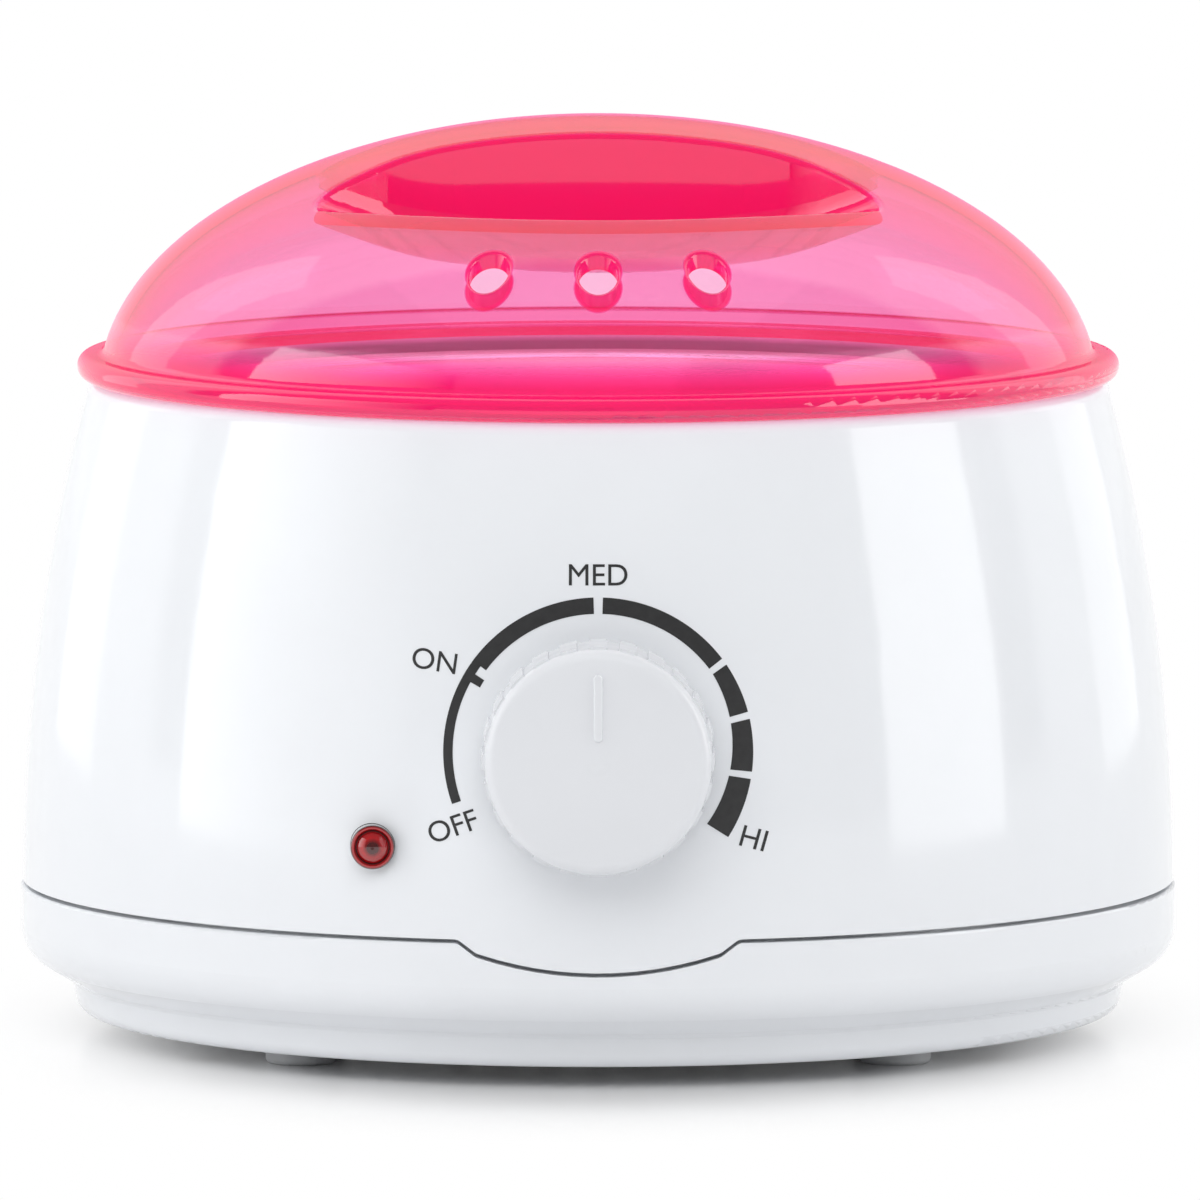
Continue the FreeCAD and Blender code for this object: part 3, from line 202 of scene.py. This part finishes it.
# Shader nodes
class Graph:
    """Nodes of a material or of the world that are being put together."""

    def __init__(self, tree):
        self.tree = tree

    def node(self, kind, **settings):
        made = self.tree.nodes.new(kind)
        for setting, value in settings.items():
            setattr(made, setting, value)
        return made

    def link(self, source, target):
        self.tree.links.new(source, target)

    def feed(self, target, value):
        """Link a socket to another, or set it where the value is a constant."""
        if isinstance(value, bpy.types.NodeSocket):
            self.link(value, target)
        else:
            target.default_value = value

    def math(self, operation, *values):
        """Numbers put together."""
        made = self.node("ShaderNodeMath", operation=operation)
        for target, value in zip(made.inputs, values):
            self.feed(target, value)
        return made.outputs["Value"]

    def vector(self, operation, *values):
        """Vectors put together."""
        made = self.node("ShaderNodeVectorMath", operation=operation)
        for target, value in zip(made.inputs, values):
            self.feed(target, value)
        return made.outputs["Value" if operation in GIVES_NUMBER else "Vector"]

    def part(self, vector, axis):
        """One coordinate of a vector."""
        made = self.node("ShaderNodeSeparateXYZ")
        self.link(vector, made.inputs["Vector"])
        return made.outputs[axis]

    def distance(self, place, shares, axis=(0, 0, 0)):
        """Distance from an axis, with each coordinate of the place counted by its share."""
        return self.vector("DISTANCE", self.vector("MULTIPLY", place, shares), axis)

    def ramp(self, value, limits=(0.0, 1.0), ends=(0.0, 1.0), **settings):
        """A number that runs from one end to the other while a value runs between two limits."""
        span = self.node("ShaderNodeMapRange", **settings)
        for name, number in zip(("From Min", "From Max", "To Min", "To Max"), (*limits, *ends)):
            span.inputs[name].default_value = number
        self.link(value, span.inputs["Value"])
        return span.outputs["Result"]

    def mix(self, kind, share, first, second):
        """Two numbers or colours mixed by a share of the second."""
        made = self.node("ShaderNodeMix", data_type=kind)
        first_input, second_input, result = MIX_SOCKETS[kind]
        self.link(share, made.inputs["Factor"])
        self.feed(made.inputs[first_input], first)
        self.feed(made.inputs[second_input], second)
        return made.outputs[result]


class Paint(Graph):
    """A material that is being put together from nodes."""

    def __init__(self, name):
        self.material = bpy.data.materials.new(name)
        self.material.use_nodes = True
        super().__init__(self.material.node_tree)
        self.shader = self.tree.nodes["Principled BSDF"]
        self.output = self.tree.nodes["Material Output"]
        where = self.node("ShaderNodeTexCoord")
        self.place = where.outputs["Object"]
        self.normal = where.outputs["Normal"]

    def set(self, **values):
        """Set or link the shader's sockets: an underscore in a name stands for a space."""
        for name, value in values.items():
            self.feed(self.shader.inputs[name.replace("_", " ")], value)

    def noise(self, scale, detail=3.0, stretch=(1, 1, 1)):
        """Cloudy pattern, finer along the axes with a larger stretch."""
        pattern = self.node("ShaderNodeTexNoise")
        pattern.inputs["Scale"].default_value = scale
        pattern.inputs["Detail"].default_value = detail
        self.link(self.vector("MULTIPLY", self.place, stretch), pattern.inputs["Vector"])
        return pattern.outputs["Fac"]

    def rings(self, scale, detail=4.0):
        """Fine concentric marks about the Z axis, as a lathe leaves them."""
        pattern = self.node("ShaderNodeTexNoise", noise_dimensions="1D")
        pattern.inputs["Scale"].default_value = scale
        pattern.inputs["Detail"].default_value = detail
        self.link(self.distance(self.place, FROM_UPRIGHT), pattern.inputs["W"])
        return pattern.outputs["Fac"]

    def color(self, color, pattern, change):
        """Base colour that a pattern darkens and lightens by a share."""
        dark = (*[c * (1 - change) for c in color], 1)
        light = (*[min(1.0, c * (1 + change)) for c in color], 1)
        self.set(Base_Color=self.mix("RGBA", self.ramp(pattern, PATTERN_LIMITS), dark, light))

    def roughness(self, pattern, low, high):
        """Roughness that a pattern takes from low to high."""
        self.set(Roughness=self.ramp(pattern, PATTERN_LIMITS, (low, high)))

    def bump(self, pattern, depth):
        """Relief of a given depth in metres."""
        relief = self.node("ShaderNodeBump")
        relief.inputs["Strength"].default_value = 1.0
        relief.inputs["Distance"].default_value = depth
        self.link(pattern, relief.inputs["Height"])
        self.set(Normal=relief.outputs["Normal"])

    def cover(self, share, other):
        """Mix another surface over the shader by a share."""
        mixed = self.node("ShaderNodeMixShader")
        for target, source in zip(mixed.inputs, (share, self.shader.outputs["BSDF"], other)):
            self.link(source, target)
        self.link(mixed.outputs["Shader"], self.output.inputs["Surface"])


# Materials
def about(middle, stray):
    """Low and high end about a middle, a share of it away."""
    return middle * (1 - stray), middle * (1 + stray)


def moulded_plastic(name, color, rough, relief):
    """Moulded plastic: a faint cloudiness and the slight waviness of a moulding."""
    paint = Paint(name)
    paint.color(color, paint.noise(scale=35), change=0.012)
    paint.roughness(paint.noise(scale=160), *about(rough, PLASTIC_STRAY))
    paint.bump(paint.noise(scale=240, detail=2.0), depth=relief)
    paint.set(IOR=1.5)
    return paint.material


def lid_plastic(name):
    """Clear pink plastic that darkens with thickness, glows on its cut edges and lets the lamps through."""
    paint = Paint(name)
    facing = paint.node("ShaderNodeLayerWeight").outputs["Facing"]
    limb = paint.math("POWER", facing, LID_LIMB_POWER)
    wall = paint.math("MAXIMUM", paint.math("MULTIPLY", limb, LID_LIMB_SHARE), LID_WALL_SHARE)
    flange = flange_share(paint)
    cut = paint.math("MAXIMUM", cut_share(paint), paint.math("MAXIMUM", flange, vent_share(paint)))
    paint.roughness(paint.noise(scale=90), low=0.0, high=0.02)
    paint.set(IOR=1.0, Coat_IOR=LID_GLOSS_IOR, Coat_Roughness=0.05, Coat_Weight=lid_gloss(paint, limb),
              Base_Color=lid_tint(paint, paint.math("MAXIMUM", wall, cut)),
              Transmission_Weight=paint.ramp(cut, ends=(1.0, LID_CUT_CLEAR)))
    absorb = paint.node("ShaderNodeVolumeAbsorption")
    absorb.inputs["Color"].default_value = (*LID_ABSORB, 1)
    absorb.inputs["Density"].default_value = LID_DENSITY
    paint.link(absorb.outputs["Volume"], paint.output.inputs["Volume"])
    clear = paint.node("ShaderNodeBsdfTransparent")
    shade = paint.math("MULTIPLY", flange, LID_FLANGE_SHADE)
    paint.link(paint.math("SUBTRACT", 1.0, shade), clear.inputs["Color"])
    ray = paint.node("ShaderNodeLightPath").outputs
    lighting = paint.math("MAXIMUM", ray["Is Shadow Ray"], ray["Is Diffuse Ray"])
    paint.cover(lighting, clear.outputs["BSDF"])
    return paint.material


def lid_tint(paint, share):
    """Colour of the lid's faces, from clear to the deep colour of its edges at a full share."""
    tint = paint.node("ShaderNodeCombineColor")
    for channel, edge in zip(("Red", "Green", "Blue"), LID_EDGE):
        paint.link(paint.math("POWER", edge, share), tint.inputs[channel])
    return tint.outputs["Color"]


def lid_gloss(paint, limb):
    """Weight of the lid's gloss: less inside, and fading on the upward faces that the view skims."""
    inside = paint.node("ShaderNodeNewGeometry").outputs["Backfacing"]
    upwards = paint.math("MAXIMUM", paint.part(paint.normal, "Z"), 0.0)
    skimmed = paint.math("MULTIPLY", limb, upwards)
    gloss = paint.ramp(inside, ends=(1.0, LID_INNER_GLOSS))
    return paint.math("MULTIPLY", gloss, paint.math("SUBTRACT", 1.0, skimmed))


def cut_share(paint):
    """Share from 0 on the dome to 1 on the faces that stand across it, where the plastic gathers light."""
    steepness = (DOME_RADIUS ** -2, DOME_RADIUS ** -2, DOME_RISE ** -2)
    from_base = paint.vector("SUBTRACT", paint.place, (0, 0, DOME_BASE))
    outwards = paint.vector("NORMALIZE", paint.vector("MULTIPLY", from_base, steepness))
    along = paint.vector("DOT_PRODUCT", outwards, paint.normal)
    return paint.ramp(paint.math("ABSOLUTE", along), LID_CUT_LIMITS)


def flange_share(paint):
    """Share on the outer faces of the bead flange, which is thick and so looks deep."""
    outwards = paint.vector("DOT_PRODUCT", paint.place, paint.normal)
    outer = paint.ramp(outwards, LID_OUTER_LIMITS)
    low = paint.ramp(paint.part(paint.place, "Z"), LID_FLANGE_LIMITS, (0.0, LID_FLANGE_SHARE))
    return paint.math("MULTIPLY", outer, low)


def vent_share(paint):
    """Share on the collars about the vents, which are alike left and right, and front and rear."""
    mirrored = paint.vector("ABSOLUTE", paint.place)
    shares = []
    for vent in LID_VENTS:
        away = paint.distance(mirrored, FROM_UPRIGHT, vent)
        shares.append(paint.ramp(away, LID_VENT_LIMITS))
    return paint.math("MAXIMUM", *shares)


def turned_metal(name, color, rough, marks):
    """Metal with fine lathe rings about the pot's axis."""
    paint = Paint(name)
    rings = paint.rings(scale=marks)
    paint.color(color, rings, change=0.03)
    paint.roughness(rings, *about(rough, METAL_STRAY))
    paint.bump(rings, depth=4 * MICRON)
    paint.set(Metallic=TURNED_METALLIC)
    return paint.material


def drawn_metal(name, color, rough):
    """Plated or drawn metal with fine streaks."""
    paint = Paint(name)
    streaks = paint.noise(scale=400, detail=4.0, stretch=(0.15, 1.0, 1.0))
    paint.color(color, paint.noise(scale=120), change=0.06)
    paint.roughness(streaks, *about(rough, METAL_STRAY))
    paint.bump(streaks, depth=4 * MICRON)
    paint.set(Metallic=1.0)
    return paint.material


def soft_rubber(name, color, rough=0.55):
    """Dull rubber with a fine grain."""
    paint = Paint(name)
    paint.color(color, paint.noise(scale=250), change=0.05)
    paint.roughness(paint.noise(scale=500), *about(rough, PLASTIC_STRAY))
    paint.bump(paint.noise(scale=1500, detail=2.0), depth=10 * MICRON)
    paint.set(IOR=1.45, Specular_IOR_Level=0.35)
    return paint.material


def lens_plastic(name):
    """Deep red lens under a glossy skin, with shade painted in rings about its axis: a dark middle, a dark
    ring and a near-black edge that stands in for the shadow of its bezel.
    """
    paint = Paint(name)
    widest = LENS_PAINTED_SHADE_RINGS[-1][0]
    # Rings of painted shade and shadow, not the lens's own colour: darkest in the middle, in one ring and at
    # the edge
    painted_shades = paint.node("ShaderNodeValToRGB")
    stops = painted_shades.color_ramp.elements
    while len(stops) < len(LENS_PAINTED_SHADE_RINGS):
        stops.new(1.0)
    for stop, (radius, color) in zip(stops, LENS_PAINTED_SHADE_RINGS):
        stop.position = radius / widest
        stop.color = (*color, 1)
    away = paint.distance(paint.place, FROM_FRONTAL, LENS_AXIS)
    paint.link(paint.ramp(away, (0.0, widest)), painted_shades.inputs["Fac"])
    paint.roughness(paint.noise(scale=400), low=0.05, high=0.09)
    paint.set(Base_Color=painted_shades.outputs["Color"], IOR=1.5,
              Coat_Weight=1.0, Coat_IOR=1.6, Coat_Roughness=0.02)
    return paint.material


def lamp_glass(name):
    """Clear warm glass of the neon lamp."""
    paint = Paint(name)
    paint.color(LAMP_GLASS, paint.noise(scale=300), change=0.04)
    paint.roughness(paint.noise(scale=300), low=0.02, high=0.06)
    paint.set(IOR=1.45, Transmission_Weight=0.9)
    return paint.material


def dial_ink(name):
    """Dark print with the slight mottle of a pad print."""
    paint = Paint(name)
    paint.color(INK, paint.noise(scale=900), change=0.12)
    paint.roughness(paint.noise(scale=1200), low=0.32, high=0.45)
    return paint.material


def paint_nodes():
    """Give every piece of the frame the finish of its slot."""
    finishes = {
        "white_plastic": moulded_plastic("white_plastic", WHITE_PLASTIC, rough=0.09, relief=1.2 * MICRON),
        "knob_plastic": moulded_plastic("knob_plastic", KNOB_WHITE, rough=0.22, relief=2 * MICRON),
        "lid_plastic": lid_plastic("lid_plastic"),
        "pot_aluminium": turned_metal("pot_aluminium", POLISHED, rough=0.32, marks=2500),
        "bowl_aluminium": turned_metal("bowl_aluminium", SPUN, rough=0.28, marks=1800),
        "steel": drawn_metal("steel", STEEL, rough=0.25),
        "brass": drawn_metal("brass", BRASS, rough=0.28),
        "copper": drawn_metal("copper", COPPER, rough=0.25),
        "switch_plastic": moulded_plastic("switch_plastic", SWITCH_CREAM, rough=0.40, relief=6 * MICRON),
        "fuse_body": drawn_metal("fuse_body", STEEL, rough=0.35),
        "gasket_rubber": soft_rubber("gasket_rubber", GASKET_GREY),
        "foot_rubber": soft_rubber("foot_rubber", FOOT_WHITE, rough=0.40),
        "bush_rubber": soft_rubber("bush_rubber", BUSH_GREY),
        "red_lens": lens_plastic("red_lens"),
        "lamp_glass": lamp_glass("lamp_glass"),
        "live_insulation": soft_rubber("live_insulation", LIVE_BROWN),
        "neutral_insulation": soft_rubber("neutral_insulation", NEUTRAL_BLUE),
    }
    for part in record["subparts"]:
        piece = nodes[part["node"]]
        piece.data.materials.clear()
        piece.data.materials.append(finishes[part["material_slot"]])


# Dial print on the housing
def knob_axis():
    """Place of the knob's axis, across and up."""
    low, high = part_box("control_knob")
    return 0.0, (low.z + high.z) / 2


def on_housing(x, z):
    """Point on the front of the housing, straight behind a point of the front view."""
    hit, place, _, _ = nodes["upper_housing"].ray_cast(Vector((x, CAST_FROM, z)), Vector((0, 1, 0)))
    if not hit:
        raise ValueError("the print leaves the housing")
    return place


def lay_on_housing(mesh):
    """Move a flat print, drawn in X and Y about the knob's axis, onto the housing's front."""
    axis_x, axis_z = knob_axis()
    for corner in mesh.vertices:
        place = on_housing(axis_x + corner.co.x, axis_z + corner.co.y)
        corner.co = place - Vector((0, INK_RISE * MM, 0))


def print_piece(name, mesh, ink):
    """Thin layer of ink on the housing, which it rides on."""
    lay_on_housing(mesh)
    piece = bpy.data.objects.new(name, mesh)
    bpy.context.scene.collection.objects.link(piece)
    mesh.materials.clear()
    mesh.materials.append(ink)
    body = piece.modifiers.new("body", "SOLIDIFY")
    body.thickness = INK_DEPTH * MM
    body.offset = -1
    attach(piece, "housing")


def dial_point(radius, angle):
    """Point of the flat dial, at an angle clockwise from the top."""
    turn = math.radians(angle)
    return Vector((radius * math.sin(turn), radius * math.cos(turn), 0)) * MM


def arc_patch(made, start, end, widths, outer=ARC_OUTER):
    """Band of the dial between two angles, whose width runs from the first width to the second."""
    steps = max(1, round((end - start) / ARC_STEP))
    rows = []
    for i in range(steps + 1):
        share = i / steps
        angle = start + share * (end - start)
        width = widths[0] + share * (widths[1] - widths[0])
        rows.append([made.verts.new(dial_point(outer - width * j / ARC_ROWS, angle))
                     for j in range(ARC_ROWS + 1)])
    for before, after in zip(rows, rows[1:]):
        for j in range(ARC_ROWS):
            made.faces.new((before[j + 1], after[j + 1], after[j], before[j]))


def high_width(angle):
    """Width of the widening band above the first step."""
    share = (angle - STEP_ANGLES[0]) / (HIGH_ANGLE - STEP_ANGLES[0])
    return THICK_WIDTH + share * (HIGH_WIDTH - THICK_WIDTH)


def dial_print(ink):
    """Scale of the dial: a thin band with a tick, two thick bands and three widening steps."""
    made = bmesh.new()
    thick_start = ON_ANGLE + TICK_ANGLE + NOTCH_ANGLE
    arc_patch(made, OFF_ANGLE, thick_start, (THIN_WIDTH, THIN_WIDTH))
    arc_patch(made, ON_ANGLE, ON_ANGLE + TICK_ANGLE, (TICK_REACH - THIN_WIDTH,) * 2, ARC_OUTER - THIN_WIDTH)
    arc_patch(made, thick_start, -MIDDLE_GAP / 2, (THICK_WIDTH, THICK_WIDTH))
    arc_patch(made, MIDDLE_GAP / 2, STEP_ANGLES[0] - STEP_GAP / 2, (THICK_WIDTH, THICK_WIDTH))
    ends = (*STEP_ANGLES[1:], HIGH_ANGLE + STEP_GAP / 2)
    for start, end in zip(STEP_ANGLES, ends):
        low = start + STEP_GAP / 2
        high = end - STEP_GAP / 2
        arc_patch(made, low, high, (high_width(low), high_width(high)))
    mesh = bpy.data.meshes.new("dial_print")
    made.to_mesh(mesh)
    made.free()
    print_piece("dial_print", mesh, ink)


def label(name, ink, words, x, z, turn):
    """Word of the dial, scaled to the label height, centred and turned."""
    text = bpy.data.curves.new(name, "FONT")
    text.body = words
    text.align_x = "CENTER"
    text.align_y = "CENTER"
    text.resolution_u = LABEL_CURVE_STEPS
    carrier = bpy.data.objects.new(name + "_outline", text)
    bpy.context.scene.collection.objects.link(carrier)
    bpy.context.view_layer.update()
    mesh = bpy.data.meshes.new_from_object(carrier.evaluated_get(bpy.context.evaluated_depsgraph_get()))
    mesh.name = name
    bpy.data.objects.remove(carrier)
    bpy.data.curves.remove(text)
    lows = [min(corner.co[i] for corner in mesh.vertices) for i in range(2)]
    highs = [max(corner.co[i] for corner in mesh.vertices) for i in range(2)]
    middle = Vector(((lows[0] + highs[0]) / 2, (lows[1] + highs[1]) / 2, 0))
    grow = LABEL_HEIGHT * MM / (highs[1] - lows[1])
    place = Matrix.Translation(Vector((x, z, 0)) * MM) @ Matrix.Rotation(math.radians(turn), 4, "Z")
    mesh.transform(place @ Matrix.Scale(grow, 4) @ Matrix.Translation(-middle))
    print_piece(name, mesh, ink)


# Stage
def bearing(angle, distance):
    """Point on the floor at an angle from the front, positive towards the right."""
    turn = math.radians(angle)
    return Vector((distance * math.sin(turn), -distance * math.cos(turn), 0))


def softbox(name, first, last, height, strength, fade):
    """Glowing upright panel that faces the heater and fades towards its last bearing."""
    near = bearing(first, PANEL_DISTANCE)
    far = bearing(last, PANEL_DISTANCE)
    up = Vector((0, 0, height))
    mesh = bpy.data.meshes.new(name)
    mesh.from_pydata([near, far, far + up, near + up], [], [(0, 1, 2, 3)])
    layer = mesh.uv_layers.new(name="panel")
    for loop, place in zip(layer.data, ((0, 0), (1, 0), (1, 1), (0, 1))):
        loop.uv = place
    panel = bpy.data.objects.new(name, mesh)
    bpy.context.scene.collection.objects.link(panel)
    panel.visible_camera = False
    panel.visible_shadow = False
    mesh.materials.append(glow(name, strength, fade))


def glow(name, strength, fade):
    """Light of a panel, which loses a share of its strength across the panel."""
    material = bpy.data.materials.new(name)
    material.use_nodes = True
    graph = Graph(material.node_tree)
    graph.tree.nodes.clear()
    across = graph.part(graph.node("ShaderNodeUVMap").outputs["UV"], "X")
    light = graph.node("ShaderNodeEmission")
    graph.link(graph.ramp(across, ends=(strength, strength * (1 - fade))), light.inputs["Strength"])
    output = graph.node("ShaderNodeOutputMaterial")
    graph.link(light.outputs["Emission"], output.inputs["Surface"])
    return material


def area_light(name, place, size, strength):
    """Soft lamp that points at the heater's middle."""
    lamp = bpy.data.lights.new(name, "AREA")
    lamp.shape = "RECTANGLE"
    lamp.size, lamp.size_y = size
    lamp.energy = strength
    carrier = bpy.data.objects.new(name, lamp)
    carrier.location = place
    carrier.rotation_mode = "QUATERNION"
    carrier.rotation_quaternion = (Vector(LAMP_AIM) - Vector(place)).to_track_quat("-Z", "Y")
    carrier.visible_camera = False
    carrier.visible_glossy = False
    bpy.context.scene.collection.objects.link(carrier)


def floor_material():
    """Pale glossy table that turns to the white of the background away from the heater."""
    paint = Paint("floor")
    paint.color(FLOOR_COLOR, paint.noise(scale=6), change=0.004)
    paint.roughness(paint.noise(scale=15), low=0.14, high=0.18)
    paint.set(IOR=1.45, Specular_IOR_Level=0.12)
    away = paint.distance(paint.place, FLOOR_FADE_SHAPE)
    fade = paint.ramp(away, FLOOR_FADE, interpolation_type="SMOOTHSTEP")
    lighting = paint.node("ShaderNodeLightPath").outputs["Is Diffuse Ray"]
    share = paint.math("MULTIPLY", fade, paint.math("SUBTRACT", 1.0, lighting))
    paint.cover(share, paint.node("ShaderNodeEmission").outputs["Emission"])
    return paint.material


def floor():
    """Wide table top at the height of the feet."""
    half = FLOOR_SIZE / 2
    corners = [(-half, -half, 0), (half, -half, 0), (half, half, 0), (-half, half, 0)]
    mesh = bpy.data.meshes.new("floor")
    mesh.from_pydata(corners, [], [(0, 1, 2, 3)])
    mesh.materials.append(floor_material())
    table = bpy.data.objects.new("floor", mesh)
    bpy.context.scene.collection.objects.link(table)


def world():
    """Studio light, dimmer from behind the camera, that gloss sees as a bright room behind the heater."""
    made = bpy.data.worlds.new("studio")
    bpy.context.scene.world = made
    made.use_nodes = True
    graph = Graph(made.node_tree)
    backwards = graph.part(graph.node("ShaderNodeTexCoord").outputs["Generated"], "Y")
    plain = graph.ramp(backwards, WORLD_LIMITS, (WORLD_FRONT, WORLD_SIDE), interpolation_type="SMOOTHSTEP")
    room = graph.ramp(backwards, GLOSS_LIMITS, (GLOSS_FRONT, GLOSS_BACK))
    ray = graph.node("ShaderNodeLightPath").outputs
    mirrored = graph.mix("FLOAT", ray["Is Glossy Ray"], plain, room)
    strength = graph.mix("FLOAT", ray["Is Transmission Ray"], mirrored, WORLD_THROUGH)
    light = graph.tree.nodes["Background"]
    light.inputs["Color"].default_value = WORLD_COLOR
    graph.link(strength, light.inputs["Strength"])


def camera():
    """Camera in front of the heater, aimed at its axis."""
    lens = bpy.data.cameras.new("camera")
    lens.sensor_width = SENSOR
    lens.lens = PHOTO_FOCUS * SENSOR / PHOTO_SIDE
    lens.shift_x = (PHOTO_SIDE / 2 - PHOTO_AXIS_COLUMN) / PHOTO_SIDE
    lens.clip_end = CAMERA_REACH
    carrier = bpy.data.objects.new("camera", lens)
    elevation = math.radians(CAMERA_ELEVATION)
    back = Vector((0, -math.cos(elevation), math.sin(elevation)))
    carrier.location = Vector((0, 0, CAMERA_AIM_HEIGHT)) + back * CAMERA_DISTANCE
    carrier.rotation_mode = "QUATERNION"
    carrier.rotation_quaternion = (-back).to_track_quat("-Z", "Y")
    bpy.context.scene.collection.objects.link(carrier)
    bpy.context.scene.camera = carrier


paint_nodes()
ink = dial_ink("dial_ink")
dial_print(ink)
for label_name, layout in LABELS.items():
    label(label_name, ink, **layout)

floor()
world()
for panel_name, layout in PANELS.items():
    softbox(panel_name, **layout)
for lamp_name, layout in LAMPS.items():
    area_light(lamp_name, **layout)
camera()
bpy.context.scene.view_settings.view_transform = "Standard"
bpy.context.scene.cycles.max_bounces = LIGHT_BOUNCES
bpy.context.scene.cycles.transmission_bounces = LIGHT_BOUNCES
